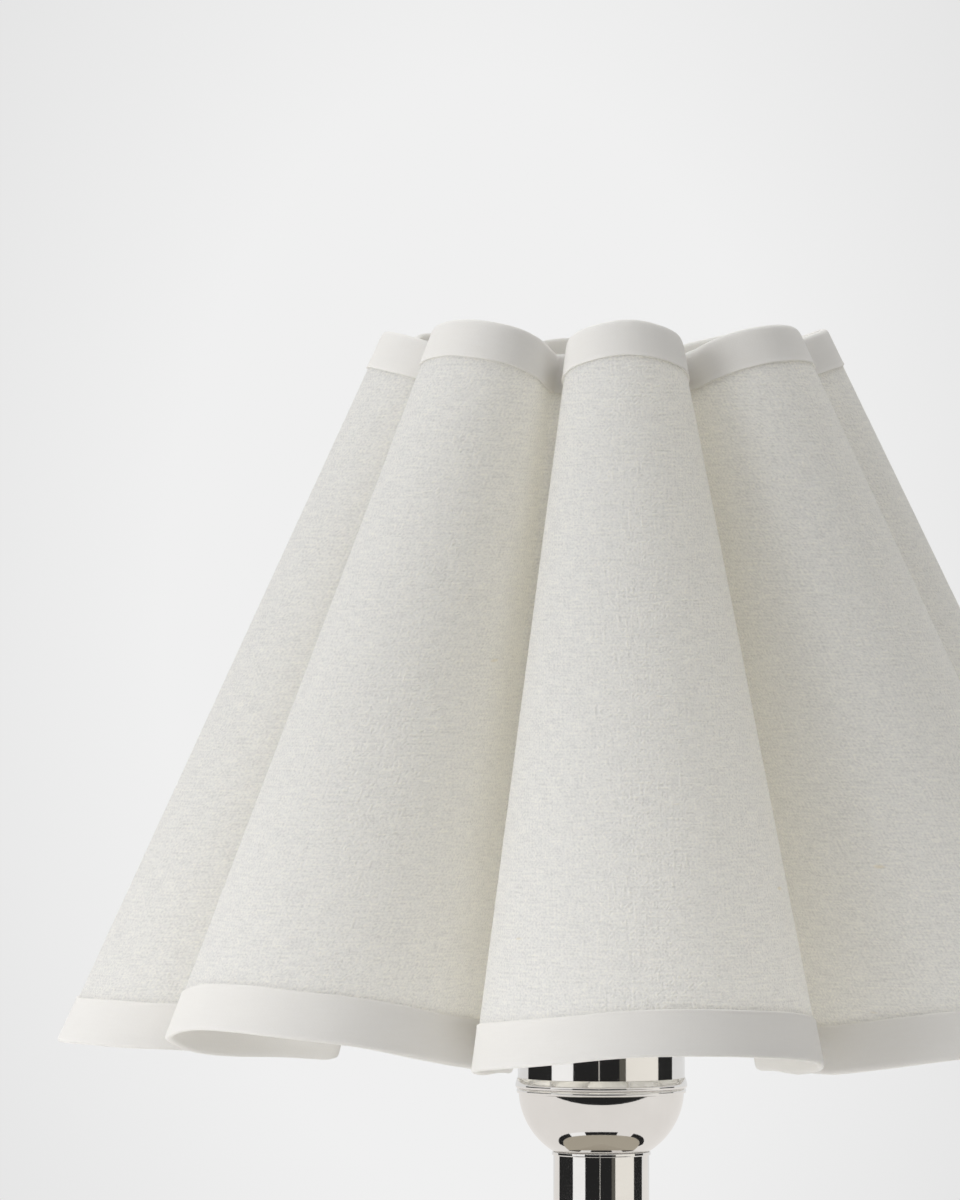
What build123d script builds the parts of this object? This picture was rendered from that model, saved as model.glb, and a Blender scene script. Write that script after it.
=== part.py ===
"""Table candle lamp: a spring-fed candle in a nickel stem, with a glass chimney and a lobed linen shade.

Millimetres, +Z up, origin on the table under the middle of the foot. The front is -Y.
"""

import math
import os

from build123d import *

# Clearances
LIFT_GAP = 0.3          # round faces of pieces that lift or slide past each other
SEAT_GAP = 0.1          # a wire ring and the binding that it carries
SCREW_GAP = 0.2         # a threaded rod in its plain hole

# Foot
FELT_THICKNESS = 1.5
FELT_INSET = 3.0        # felt edge behind the foot's edge
PLATE_THICKNESS = 1.5
FOOT_RADIUS = 65.0
FOOT_RIM = 6.0          # straight wall of the rim
FOOT_ROUND = 3.0        # bend above the rim
FOOT_RISE = 3.5         # slope of the top, from the rim to the sweep
FOOT_SWEEP = 14.0       # hollow curve up to the stem
FOOT_SHEET = 1.2
FOOT_RING_HEIGHT = 3.0  # bead round the stem on top of the foot
FOOT_RING_WIDTH = 2.6
WEIGHT_BOSS_RADIUS = 13.0
WEIGHT_FLOOR = 5.0      # iron between the nut pocket and the stem
POCKET_RADIUS = 9.5
POCKET_DEPTH = 8.0
PLATE_SCREW_COUNT = 3
PLATE_SCREW_CIRCLE = 45.0
PLATE_SCREW_RADIUS = 1.5
PLATE_SCREW_HEAD = 3.0
PLATE_SCREW_LENGTH = 6.0

# Stem and its fastening
STEM_RADIUS = 11.0
STEM_WALL = 1.0
STEM_SHOWN = 201.0      # bare stem between the foot ring and the cup
STEM_ABOVE_DECK = 14.4  # stem end that carries the cap
BUSH_LENGTH = 16.0
ROD_RADIUS = 4.0
WASHER_RADIUS = 8.0
WASHER_THICKNESS = 1.2
NUT_FLATS = 13.0
NUT_HEIGHT = 4.5

# Gallery
CUP_RING_HEIGHT = 0.8
CUP_RING_WIDTH = 0.3
CUP_DEPTH = 13.0
CUP_RADIUS = 19.0
CUP_ROUND = 23.0
CUP_WALL = 1.2
BEAD_STEP = 0.6         # thin ring under the bead
BEAD_STEP_WIDTH = 0.3
BEAD_HEIGHT = 1.6
BEAD_WIDTH = 0.6        # how far the bead stands proud of the collar
COLLAR_RADIUS = 19.15
COLLAR_WALL = 1.0
COLLAR_HEIGHT = 28.0
DECK_THICKNESS = 1.2
AIR_HOLE_COUNT = 8
AIR_HOLE_RADIUS = 1.0
CLIP_COUNT = 3
CLIP_WIDTH = 5.0
CLIP_FOOT = 1.6         # folded foot that the chimney stands on
CLIP_LEAF = 0.5
CLIP_HEIGHT = 14.0
RIVET_RADIUS = 0.5
RIVET_HEAD_RADIUS = 0.7
RIVET_HEAD = 0.5

# Chimney
CHIMNEY_RADIUS = 16.2
CHIMNEY_WALL = 1.6
CHIMNEY_HEIGHT = 140.0

# Candle cap with its bayonet
CAP_WALL = 1.2
CAP_SKIRT = 10.0
CAP_TOP = 1.2
CAP_HOLE_RADIUS = 6.0
CAP_LIP_HEIGHT = 2.5
CAP_LIP_WALL = 1.0
CAP_TWIST = 35.0        # degrees from locked to free
PIN_COUNT = 2
PIN_RADIUS = 0.8
PIN_DROP = 5.0          # below the stem's end

# Candle feed
CANDLE_GAP = 0.5
CANDLE_LENGTH = 140.0
CANDLE_BEVEL = 1.5
WICK_RADIUS = 0.8
WICK_SHOWN = 11.0
WICK_BURIED = 10.0
FOLLOWER_HEIGHT = 6.0
FOLLOWER_BOSS_RADIUS = 6.2
FOLLOWER_BOSS_HEIGHT = 10.0
SPRING_WIRE = 0.8       # radius of the wire
SPRING_TURNS = 11

# Shade: round lobes with a deep fold between each pair
SHADE_DROP = 15.5       # lower tips of the lobes under the collar's edge
SHADE_HEIGHT = 159.4    # along the tips
LOBE_REACH_TOP = 51.4
LOBE_REACH_BOTTOM = 128.0
FOLD_REACH_TOP = 29.7
FOLD_REACH_BOTTOM = 67.4
FOLD_BEND_TOP = 2.0     # bend radius at the inside of a fold
FOLD_BEND_BOTTOM = 3.8
FOLD_DIP_TOP = 7.7      # how far the edge drops at a fold
FOLD_DIP_BOTTOM = 7.8
LOBE_FILL = 0.985       # share of the room between two folds that a lobe's round takes
PANEL_THICKNESS = 0.8
TRIM_WIDTH = 10.0
TRIM_THICKNESS = 0.5
# The lobes are formed by hand, so each stands a little off its even place.
# One line a lobe, from the left round the front: angle from -Y towards +X at the top and at
# the bottom, in degrees, and reach beyond the common one at the top and at the bottom.
LOBES = (
    (-84.0, -80.0, -2.0, -4.5),
    (-35.0, -44.5, 2.5, -2.5),
    (7.5, 5.5, -1.5, 4.5),
    (52.0, 59.5, 0.5, 2.5),
    (97.5, 96.5, 0.5, 1.5),
    (142.0, 142.5, 0.0, 0.0),
    (186.5, 188.5, 0.0, 0.0),
    (231.0, 234.5, 0.0, 0.0),
)

# Shade frame
FITTER_WALL = 1.0
FITTER_SKIRT = 6.0
FITTER_LIP = 1.2
FITTER_LIP_INSET = 0.8  # lip over the collar's edge, inwards from its outside
RING_WIRE = 1.5         # wire radius of the two rings
ARM_WIRE = 1.2          # wire radius of arms and ribs
RING_INSET = 6.0        # ring behind the edge of the fold
ARM_DROP = 3.0          # arms under the fitter's lip
RIB_FOLDS = (0, 2, 4, 6)

# Heights
plate_z = FELT_THICKNESS
weight_z = plate_z + PLATE_THICKNESS
foot_bend_z = plate_z + FOOT_RIM
foot_slope_z = foot_bend_z + FOOT_ROUND
foot_neck_z = foot_slope_z + FOOT_RISE + FOOT_SWEEP
pocket_z = weight_z + POCKET_DEPTH
stem_z = pocket_z + WEIGHT_FLOOR
bush_top_z = stem_z + BUSH_LENGTH
cup_ring_z = foot_neck_z + FOOT_RING_HEIGHT + STEM_SHOWN
cup_z = cup_ring_z + CUP_RING_HEIGHT
bead_z = cup_z + CUP_DEPTH
collar_z = bead_z + BEAD_STEP + BEAD_HEIGHT
collar_top_z = collar_z + COLLAR_HEIGHT
deck_z = bead_z + BEAD_STEP
deck_top_z = deck_z + DECK_THICKNESS
chimney_z = deck_top_z + CLIP_FOOT
stem_top_z = deck_top_z + STEM_ABOVE_DECK
cap_top_z = stem_top_z + LIFT_GAP
pin_z = stem_top_z - PIN_DROP
candle_top_z = stem_top_z
candle_z = candle_top_z - CANDLE_LENGTH
follower_z = candle_z - FOLLOWER_HEIGHT
shade_z = collar_top_z - SHADE_DROP
shade_top_z = shade_z + SHADE_HEIGHT

# Radii
stem_bore = STEM_RADIUS - STEM_WALL
collar_bore = COLLAR_RADIUS - COLLAR_WALL
cap_bore = STEM_RADIUS + LIFT_GAP
cap_radius = cap_bore + CAP_WALL
fitter_bore = COLLAR_RADIUS + LIFT_GAP
fitter_radius = fitter_bore + FITTER_WALL
chimney_bore = CHIMNEY_RADIUS - CHIMNEY_WALL
clip_radius = CHIMNEY_RADIUS + LIFT_GAP
follower_radius = stem_bore - LIFT_GAP
candle_radius = stem_bore - CANDLE_GAP


def cylinder(radius, z, top):
    return Pos(0, 0, (z + top) / 2) * Cylinder(radius, top - z)


def ring(bore, radius, z, top):
    return cylinder(radius, z, top) - cylinder(bore, z, top)


def spin(edges):
    """Body of revolution about Z from the closed outline that the edges make in the XZ plane."""
    return revolve(make_face(edges), Axis.Z)


def around(count, shape):
    """The shape and its copies, evenly spaced about Z."""
    return [Rot(0, 0, 360 * i / count) * shape for i in range(count)]


def polar(reach, angle, z):
    return Vector(reach * math.sin(angle), -reach * math.cos(angle), z)


def rod(start, end, radius):
    """Straight round wire between two points."""
    return Solid.make_cylinder(radius, (end - start).length, Plane(start, z_dir=end - start))


# Foot


def foot_side(inset):
    """Outline of the foot from its lower edge to the neck, set in by the sheet's thickness."""
    edge = FOOT_RADIUS - inset
    bend = FOOT_RADIUS - FOOT_ROUND
    neck = STEM_RADIUS + FOOT_SHEET
    slope_start = (bend, 0, foot_slope_z - inset)
    slope_end = (neck + FOOT_SWEEP, 0, foot_slope_z + FOOT_RISE - inset)
    bend_mid = (FOOT_ROUND - inset) * math.sqrt(0.5)
    sweep_mid = (FOOT_SWEEP + inset) * math.sqrt(0.5)
    wall = Line((edge, 0, plate_z), (edge, 0, foot_bend_z))
    round_edge = ThreePointArc(wall @ 1, (bend + bend_mid, 0, foot_bend_z + bend_mid), slope_start)
    slope = Spline(slope_start, slope_end, tangents=[(-1, 0, 0), (-1, 0, 0)])
    sweep_point = (neck + FOOT_SWEEP - sweep_mid, 0, foot_neck_z - sweep_mid)
    sweep_curve = ThreePointArc(slope_end, sweep_point, (neck - inset, 0, foot_neck_z))
    return [wall, round_edge, slope, sweep_curve]


def make_foot_shell():
    outside = foot_side(0)
    inside = foot_side(FOOT_SHEET)
    neck_edge = Line(outside[-1] @ 1, inside[-1] @ 1)
    lower_edge = Line(inside[0] @ 0, outside[0] @ 0)
    return spin(outside + [neck_edge] + inside + [lower_edge])


def plate_screw_spots():
    return PolarLocations(PLATE_SCREW_CIRCLE, PLATE_SCREW_COUNT)


def make_plate_screws():
    head = PLATE_SCREW_HEAD - PLATE_SCREW_RADIUS
    cone = Pos(0, 0, plate_z + head / 2) * Cone(PLATE_SCREW_HEAD, PLATE_SCREW_RADIUS, head)
    shank = cylinder(PLATE_SCREW_RADIUS, plate_z, plate_z + PLATE_SCREW_LENGTH)
    return [spot * (cone + shank) for spot in plate_screw_spots()]


def make_foot_plate(screws):
    plate = cylinder(FOOT_RADIUS - FOOT_SHEET - LIFT_GAP, plate_z, weight_z)
    return plate - screws


def make_foot_weight(screws):
    disc = cylinder(FOOT_RADIUS - FOOT_ROUND - LIFT_GAP, weight_z, foot_slope_z - FOOT_SHEET)
    boss = cylinder(WEIGHT_BOSS_RADIUS, weight_z, stem_z)
    pocket = cylinder(POCKET_RADIUS, weight_z, pocket_z)
    bore = cylinder(ROD_RADIUS + SCREW_GAP, weight_z, stem_z)
    return disc + boss - pocket - bore - screws


def make_stem_nut():
    nut_top = pocket_z - WASHER_THICKNESS
    hexagon = RegularPolygon(NUT_FLATS / 2, 6, major_radius=False)
    nut = Pos(0, 0, nut_top - NUT_HEIGHT) * extrude(hexagon, NUT_HEIGHT)
    return nut - cylinder(ROD_RADIUS, weight_z, nut_top)


def make_stem_bush():
    rod_end = pocket_z - WASHER_THICKNESS - NUT_HEIGHT
    return cylinder(stem_bore, stem_z, bush_top_z) + cylinder(ROD_RADIUS, rod_end, stem_z)


def make_foot_ring():
    half = FOOT_RING_HEIGHT / 2
    inner = STEM_RADIUS
    start = (inner, 0, foot_neck_z)
    lower = (inner + FOOT_RING_WIDTH - half, 0, foot_neck_z)
    nose = (inner + FOOT_RING_WIDTH, 0, foot_neck_z + half)
    upper = (inner + FOOT_RING_WIDTH - half, 0, foot_neck_z + FOOT_RING_HEIGHT)
    end = (inner, 0, foot_neck_z + FOOT_RING_HEIGHT)
    return spin([Line(start, lower), ThreePointArc(lower, nose, upper), Line(upper, end), Line(end, start)])


# Stem and gallery


def bowed(start, end, radius):
    """Arc of a given radius in the XZ plane, swelling outwards and down."""
    chord = end - start
    rise = radius - math.sqrt(radius**2 - chord.length**2 / 4)
    outwards = Vector(chord.Z, 0, -chord.X).normalized()
    return ThreePointArc(start, (start + end) * 0.5 + outwards * rise, end)


def pin_rods():
    """Bayonet pins, set half a wall deep in the stem."""
    start = Vector(STEM_RADIUS - STEM_WALL / 2, 0, pin_z)
    end = Vector(cap_radius - LIFT_GAP, 0, pin_z)
    return around(PIN_COUNT, rod(start, end, PIN_RADIUS))


def make_stem_tube(pins):
    return ring(stem_bore, STEM_RADIUS, stem_z, stem_top_z) - pins


def make_gallery_cup():
    foot = Vector(STEM_RADIUS, 0, cup_z)
    rim = Vector(CUP_RADIUS, 0, bead_z)
    rim_inside = Vector(CUP_RADIUS - CUP_WALL, 0, bead_z)
    foot_inside = Vector(STEM_RADIUS, 0, cup_z + 2 * CUP_WALL)
    outside = bowed(foot, rim, CUP_ROUND)
    inside = bowed(foot_inside, rim_inside, CUP_ROUND - CUP_WALL)
    return spin([outside, Line(rim, rim_inside), inside, Line(foot_inside, foot)])


def make_gallery_bead():
    step = COLLAR_RADIUS + BEAD_STEP_WIDTH
    lower = (collar_bore, 0, bead_z)
    points = [lower, (step, 0, bead_z), (step, 0, deck_z), (COLLAR_RADIUS, 0, deck_z)]
    nose = (COLLAR_RADIUS + BEAD_WIDTH, 0, deck_z + BEAD_HEIGHT / 2)
    upper = (COLLAR_RADIUS, 0, collar_z)
    edges = [Line(a, b) for a, b in zip(points, points[1:])]
    edges.append(ThreePointArc(points[-1], nose, upper))
    edges.append(Polyline(upper, (collar_bore, 0, collar_z), lower))
    return spin(edges)


def make_gallery_deck(rivets):
    deck = ring(STEM_RADIUS, collar_bore, deck_z, deck_top_z)
    hole_circle = (STEM_RADIUS + chimney_bore) / 2
    hole = Pos(hole_circle, 0, 0) * cylinder(AIR_HOLE_RADIUS, deck_z, deck_top_z)
    turn = Rot(0, 0, 180 / AIR_HOLE_COUNT)
    return deck - [turn * h for h in around(AIR_HOLE_COUNT, hole)] - rivets


def clip_rivets():
    spot = Pos((cap_radius + chimney_bore) / 2, 0, 0)
    shank = cylinder(RIVET_RADIUS, deck_z, chimney_z)
    head = cylinder(RIVET_HEAD_RADIUS, chimney_z, chimney_z + RIVET_HEAD)
    return around(CLIP_COUNT, spot * (shank + head))


def make_chimney_clips(rivets):
    inner = cap_radius - LIFT_GAP
    outer = clip_radius + CLIP_LEAF
    foot_spot = Pos((inner + outer) / 2, 0, (deck_top_z + chimney_z) / 2)
    foot = foot_spot * Box(outer - inner, CLIP_WIDTH, CLIP_FOOT)
    leaf = ring(clip_radius, outer, chimney_z, chimney_z + CLIP_HEIGHT)
    strip = Pos(outer / 2, 0, chimney_z + CLIP_HEIGHT / 2) * Box(outer, CLIP_WIDTH, CLIP_HEIGHT)
    foot = foot & cylinder(outer, deck_top_z, chimney_z)
    return [clip - rivets for clip in around(CLIP_COUNT, foot + (leaf & strip))]


# Candle, its feed and its cap


def make_candle():
    body = cylinder(candle_radius, candle_z, candle_top_z)
    body = chamfer(body.edges().group_by(Axis.Z)[-1], CANDLE_BEVEL)
    return body - cylinder(WICK_RADIUS, candle_top_z - WICK_BURIED, candle_top_z)


def make_follower():
    disc = cylinder(follower_radius, follower_z, candle_z)
    return disc + cylinder(FOLLOWER_BOSS_RADIUS, follower_z - FOLLOWER_BOSS_HEIGHT, follower_z)


def biarc(start, start_way, end, end_way):
    """Two arcs that join end to end, from one point and direction to another."""
    chord = end - start
    ways = start_way + end_way
    along = chord.dot(ways)
    short = 4 - ways.dot(ways)
    reach = (math.sqrt(along * along + short * chord.dot(chord)) - along) / short
    near = start + start_way * reach
    far = end - end_way * reach
    joint = (near + far) * 0.5
    return [TangentArc(start, joint, tangent=start_way), TangentArc(joint, end, tangent=far - near)]


def make_feed_spring():
    """Round wire coil between the bush and the follower, in quarter turns."""
    coil = stem_bore - LIFT_GAP - 2 * SPRING_WIRE
    low = bush_top_z + SPRING_WIRE + LIFT_GAP
    high = follower_z - SPRING_WIRE - LIFT_GAP
    quarters = 4 * SPRING_TURNS
    rise = (high - low) / (2 * math.pi * SPRING_TURNS)
    turns = [math.pi / 2 * i for i in range(quarters + 1)]
    points = [Vector(coil * math.cos(t), coil * math.sin(t), low + rise * t) for t in turns]
    ways = [Vector(-coil * math.sin(t), coil * math.cos(t), rise).normalized() for t in turns]
    arcs = []
    for i in range(quarters):
        arcs += biarc(points[i], ways[i], points[i + 1], ways[i + 1])
    path = Wire(arcs)
    wire = sweep(Plane(points[0], z_dir=ways[0]) * Circle(SPRING_WIRE), path)
    gap = (points[4] - points[0]).length - 2 * SPRING_WIRE
    print("spring: least gap", round(gap, 2), "wire length", round(path.length, 1))
    return wire


def make_candle_cap():
    skirt = ring(cap_bore, cap_radius, cap_top_z - CAP_SKIRT, cap_top_z)
    top = ring(CAP_HOLE_RADIUS, cap_radius, cap_top_z, cap_top_z + CAP_TOP)
    lip_z = cap_top_z + CAP_TOP
    lip = ring(CAP_HOLE_RADIUS, CAP_HOLE_RADIUS + CAP_LIP_WALL, lip_z, lip_z + CAP_LIP_HEIGHT)
    return skirt + top + lip - around(PIN_COUNT, bayonet_slot())


def bayonet_slot():
    """Room for one pin: level from the locked end, then down to the skirt's edge."""
    half = PIN_RADIUS + LIFT_GAP
    reach = cap_radius + LIFT_GAP
    level = Rectangle(reach, 2 * half, align=(Align.MIN, Align.CENTER))
    level = revolve(Plane.XZ * Pos(0, pin_z) * level, Axis.Z, -CAP_TWIST)
    end_hole = rod(Vector(0, 0, pin_z), Vector(reach, 0, pin_z), half)
    free_way = Pos(reach / 2, 0, pin_z - CAP_SKIRT / 2) * Box(reach, 2 * half, CAP_SKIRT)
    return level + end_hole + Rot(0, 0, -CAP_TWIST) * (end_hole + free_way)


# Shade


def mix(bottom, top, share):
    return bottom + (top - bottom) * share


def lobe_round(reach, fold, bend, half_turn):
    """Radius of a lobe's round, the turn from its tip to its straight flank, and the fold's centre."""
    centre = fold + bend
    across = centre * math.sin(half_turn)
    along = reach - centre * math.cos(half_turn)
    touching = (across**2 + along**2 - bend**2) / (2 * (along + bend))
    wedged = (reach * math.sin(half_turn) - bend) / (1 + math.sin(half_turn))
    radius = LOBE_FILL * min(touching, wedged)
    drop = along - radius
    turn = math.atan2(across, -drop) - math.acos((radius + bend) / math.hypot(across, drop))
    return radius, turn, across, reach - along


def half_lobe(share, grow, lobe, neighbour, side):
    """Tip arc, flank and fold arc of half a lobe, from the tip to the middle of the fold."""
    angle = math.radians(mix(lobe[1], lobe[0], share))
    other = math.radians(mix(neighbour[1], neighbour[0], share))
    half_turn = (side * (other - angle)) % (2 * math.pi) / 2
    reach = mix(LOBE_REACH_BOTTOM + lobe[3], LOBE_REACH_TOP + lobe[2], share)
    fold = mix(FOLD_REACH_BOTTOM, FOLD_REACH_TOP, share)
    bend = mix(FOLD_BEND_BOTTOM, FOLD_BEND_TOP, share)
    radius, turn, fold_x, fold_y = lobe_round(reach, fold, bend, half_turn)
    z = mix(shade_z, shade_top_z, share)

    def spot(x, y):
        return polar(y, angle, z) + Vector(math.cos(angle), math.sin(angle)) * (side * x)

    def on_lobe(t):
        return spot((radius + grow) * math.sin(t), reach - radius + (radius + grow) * math.cos(t))

    def in_fold(t):
        return spot(fold_x - (bend - grow) * math.sin(t), fold_y - (bend - grow) * math.cos(t))

    return [
        ThreePointArc(on_lobe(0), on_lobe(turn / 2), on_lobe(turn)),
        Line(on_lobe(turn), in_fold(turn)),
        ThreePointArc(in_fold(turn), in_fold((turn + half_turn) / 2), in_fold(half_turn)),
    ]


def shade_section(share, grow):
    """Closed outline of the shade at a share of its height, grown outwards."""
    edges = []
    for i, lobe in enumerate(LOBES):
        following = LOBES[(i + 1) % len(LOBES)]
        edges += half_lobe(share, grow, lobe, following, 1)
        edges += half_lobe(share, grow, following, lobe, -1)[::-1]
    return Wire(edges)


def gore_section(share, grow, index):
    """Edges of one lobe's strip of cloth, as two halves that each end in the middle of a fold."""
    lobe = LOBES[index]
    before = LOBES[index - 1]
    after = LOBES[(index + 1) % len(LOBES)]
    return half_lobe(share, grow, lobe, before, -1), half_lobe(share, grow, lobe, after, 1)


def gore_outline(share, outside, inside, index):
    """Closed outline of one strip of cloth between two grown sections."""
    outer = gore_section(share, outside, index)
    inner = gore_section(share, inside, index)
    seams = [Line(a[-1] @ 1, b[-1] @ 1) for a, b in zip(outer, inner)]
    return Wire(outer[0][::-1] + outer[1] + [seams[1]] + inner[1][::-1] + inner[0] + [seams[0]])


def wall_shares():
    """Shares of the height between which the cloth is drawn, a little past both edges."""
    low = -(FOLD_DIP_BOTTOM + 2 * TRIM_THICKNESS) / SHADE_HEIGHT
    high = 1 + (FOLD_DIP_TOP + 2 * TRIM_THICKNESS) / SHADE_HEIGHT / 2
    return low, high


def shade_gores(outside, inside):
    """One strip of cloth a lobe. The strips meet in the folds, where they are sewn."""
    gores = []
    for index in range(len(LOBES)):
        ends = [gore_outline(share, outside, inside, index) for share in wall_shares()]
        gores.append(Solid.make_loft(ends, ruled=True))
    return gores


def shade_wall(outside, inside):
    """The whole wall between two grown outlines."""
    outer, inner = [
        Solid.make_loft([shade_section(share, grow) for share in wall_shares()], ruled=True)
        for grow in (outside, inside)
    ]
    return outer - inner


def bottom_edge_z(reach):
    slope = FOLD_DIP_BOTTOM / (LOBE_REACH_BOTTOM - FOLD_REACH_BOTTOM)
    return shade_z - slope * (LOBE_REACH_BOTTOM - reach)


def top_edge_z(reach):
    slope = FOLD_DIP_TOP / (LOBE_REACH_TOP - FOLD_REACH_TOP)
    return shade_top_z - slope * (LOBE_REACH_TOP - reach)


def edge_zone(low_edge, low_shift, high_edge, high_shift):
    """Room between two edge cones, each moved up or down."""
    far = LOBE_REACH_BOTTOM + FOLD_REACH_BOTTOM
    low = [(reach, 0, low_edge(reach) + low_shift) for reach in (0, far)]
    high = [(reach, 0, high_edge(reach) + high_shift) for reach in (far, 0)]
    return spin(Polyline(*low, *high, close=True))


def cloth_zone():
    return edge_zone(bottom_edge_z, 0, top_edge_z, 0)


def make_shade_panel():
    return [gore & cloth_zone() for gore in shade_gores(0, -PANEL_THICKNESS)]


def make_trims():
    """Bindings folded round the two edges of the cloth."""
    wall = shade_wall(TRIM_THICKNESS, -PANEL_THICKNESS - TRIM_THICKNESS)
    cloth = shade_wall(0, -PANEL_THICKNESS) & cloth_zone()
    top_zone = edge_zone(top_edge_z, -TRIM_WIDTH, top_edge_z, TRIM_THICKNESS)
    bottom_zone = edge_zone(bottom_edge_z, -TRIM_THICKNESS, bottom_edge_z, TRIM_WIDTH)
    return (wall & top_zone) - cloth, (wall & bottom_zone) - cloth


# Shade frame


def fold_slope():
    return math.atan2(FOLD_REACH_BOTTOM - FOLD_REACH_TOP, SHADE_HEIGHT)


def fold_reach_at(z):
    return mix(FOLD_REACH_BOTTOM, FOLD_REACH_TOP, (z - shade_z) / SHADE_HEIGHT)


def frame_ring_reach(z):
    """Radius of a wire ring that just meets the binding in every fold at this height."""
    binding = fold_reach_at(z) - PANEL_THICKNESS - TRIM_THICKNESS
    return binding - RING_WIRE / math.cos(fold_slope()) - SEAT_GAP


bottom_ring_z = shade_z - FOLD_DIP_BOTTOM + RING_INSET
top_ring_z = shade_top_z - FOLD_DIP_TOP - RING_INSET
bottom_ring_reach = frame_ring_reach(bottom_ring_z)
top_ring_reach = frame_ring_reach(top_ring_z)


def make_fitter_ring():
    skirt = ring(fitter_bore, fitter_radius, collar_top_z - FITTER_SKIRT, collar_top_z)
    lip_bore = COLLAR_RADIUS - FITTER_LIP_INSET
    return skirt + ring(lip_bore, fitter_radius, collar_top_z, collar_top_z + FITTER_LIP)


def wire_ring(reach, z):
    return Pos(0, 0, z) * Torus(reach, RING_WIRE)


def fold_angle(index, column):
    """Angle of the fold after a lobe, at the top (column 0) or the bottom (column 1)."""
    first = LOBES[index][column]
    second = LOBES[(index + 1) % len(LOBES)][column]
    return math.radians(first + (second - first) % 360 / 2)


def make_fitter_arms(fitter, bottom_ring):
    arms = []
    for index in RIB_FOLDS:
        angle = fold_angle(index, 1)
        start = polar(fitter_bore, angle, collar_top_z - ARM_DROP)
        end = polar(bottom_ring_reach, angle, bottom_ring_z)
        arm = rod(start, end, ARM_WIRE) - cylinder(fitter_bore, shade_z, collar_top_z)
        arms.append(arm - fitter - bottom_ring)
    return arms


def make_frame_ribs(bottom_ring, top_ring, arms):
    ribs = []
    for index, arm in zip(RIB_FOLDS, arms):
        start = polar(bottom_ring_reach, fold_angle(index, 1), bottom_ring_z)
        end = polar(top_ring_reach, fold_angle(index, 0), top_ring_z)
        ribs.append(rod(start, end, ARM_WIRE) - bottom_ring - top_ring - arm)
    return ribs


def build_lamp():
    screws = make_plate_screws()
    pins = pin_rods()
    rivets = clip_rivets()
    top_trim, bottom_trim = make_trims()
    fitter = make_fitter_ring()
    bottom_ring = wire_ring(bottom_ring_reach, bottom_ring_z)
    top_ring = wire_ring(top_ring_reach, top_ring_z)
    arms = make_fitter_arms(fitter, bottom_ring)
    washer_z = pocket_z - WASHER_THICKNESS
    wick = cylinder(WICK_RADIUS, candle_top_z - WICK_BURIED, candle_top_z + WICK_SHOWN)
    return {
        "felt_pad": cylinder(FOOT_RADIUS - FELT_INSET, 0, plate_z),
        "foot_plate": make_foot_plate(screws),
        "plate_screws": screws,
        "foot_weight": make_foot_weight(screws),
        "foot_shell": make_foot_shell(),
        "foot_ring": make_foot_ring(),
        "stem_nut": make_stem_nut(),
        "stem_washer": ring(ROD_RADIUS + SCREW_GAP, WASHER_RADIUS, washer_z, pocket_z),
        "stem_bush": make_stem_bush(),
        "stem_tube": make_stem_tube(pins),
        "cap_pins": pins,
        "cup_ring": ring(STEM_RADIUS, STEM_RADIUS + CUP_RING_WIDTH, cup_ring_z, cup_z),
        "gallery_cup": make_gallery_cup(),
        "gallery_bead": make_gallery_bead(),
        "gallery_collar": ring(collar_bore, COLLAR_RADIUS, collar_z, collar_top_z),
        "gallery_deck": make_gallery_deck(rivets),
        "chimney_clips": make_chimney_clips(rivets),
        "clip_rivets": rivets,
        "chimney": ring(chimney_bore, CHIMNEY_RADIUS, chimney_z, chimney_z + CHIMNEY_HEIGHT),
        "feed_spring": make_feed_spring(),
        "follower": make_follower(),
        "candle": make_candle(),
        "wick": wick,
        "candle_cap": make_candle_cap(),
        "fitter_ring": fitter,
        "fitter_arms": arms,
        "frame_bottom_ring": bottom_ring,
        "frame_top_ring": top_ring,
        "frame_ribs": make_frame_ribs(bottom_ring, top_ring, arms),
        "shade_panel": make_shade_panel(),
        "shade_top_trim": top_trim,
        "shade_bottom_trim": bottom_trim,
    }


os.makedirs("parts", exist_ok=True)
for name, shape in build_lamp().items():
    solids = shape if isinstance(shape, list) else [shape]
    export_step(Compound(solids) if len(solids) > 1 else solids[0], f"parts/{name}.step")
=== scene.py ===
import itertools
import math

import bpy
import numpy as np
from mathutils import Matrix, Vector


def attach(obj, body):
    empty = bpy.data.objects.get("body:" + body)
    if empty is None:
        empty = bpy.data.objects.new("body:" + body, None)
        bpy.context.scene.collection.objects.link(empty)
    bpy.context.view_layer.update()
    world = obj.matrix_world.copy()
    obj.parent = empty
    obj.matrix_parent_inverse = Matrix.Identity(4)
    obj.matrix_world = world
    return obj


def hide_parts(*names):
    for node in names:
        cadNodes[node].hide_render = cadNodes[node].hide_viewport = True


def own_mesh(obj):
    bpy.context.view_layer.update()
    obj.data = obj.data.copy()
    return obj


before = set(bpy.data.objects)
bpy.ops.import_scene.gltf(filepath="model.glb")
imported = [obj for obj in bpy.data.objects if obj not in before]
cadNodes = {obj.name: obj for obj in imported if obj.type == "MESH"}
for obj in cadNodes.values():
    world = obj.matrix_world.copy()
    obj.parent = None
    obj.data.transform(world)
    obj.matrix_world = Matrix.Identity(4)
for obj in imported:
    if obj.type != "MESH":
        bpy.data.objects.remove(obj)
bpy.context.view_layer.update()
scene = bpy.context.scene
scene.view_settings.view_transform = "Standard"
print("frame:", len(cadNodes), "CAD nodes")

mm = 0.001

# Camera: a long lens in front of the lamp, a little above the middle of the shade

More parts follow.
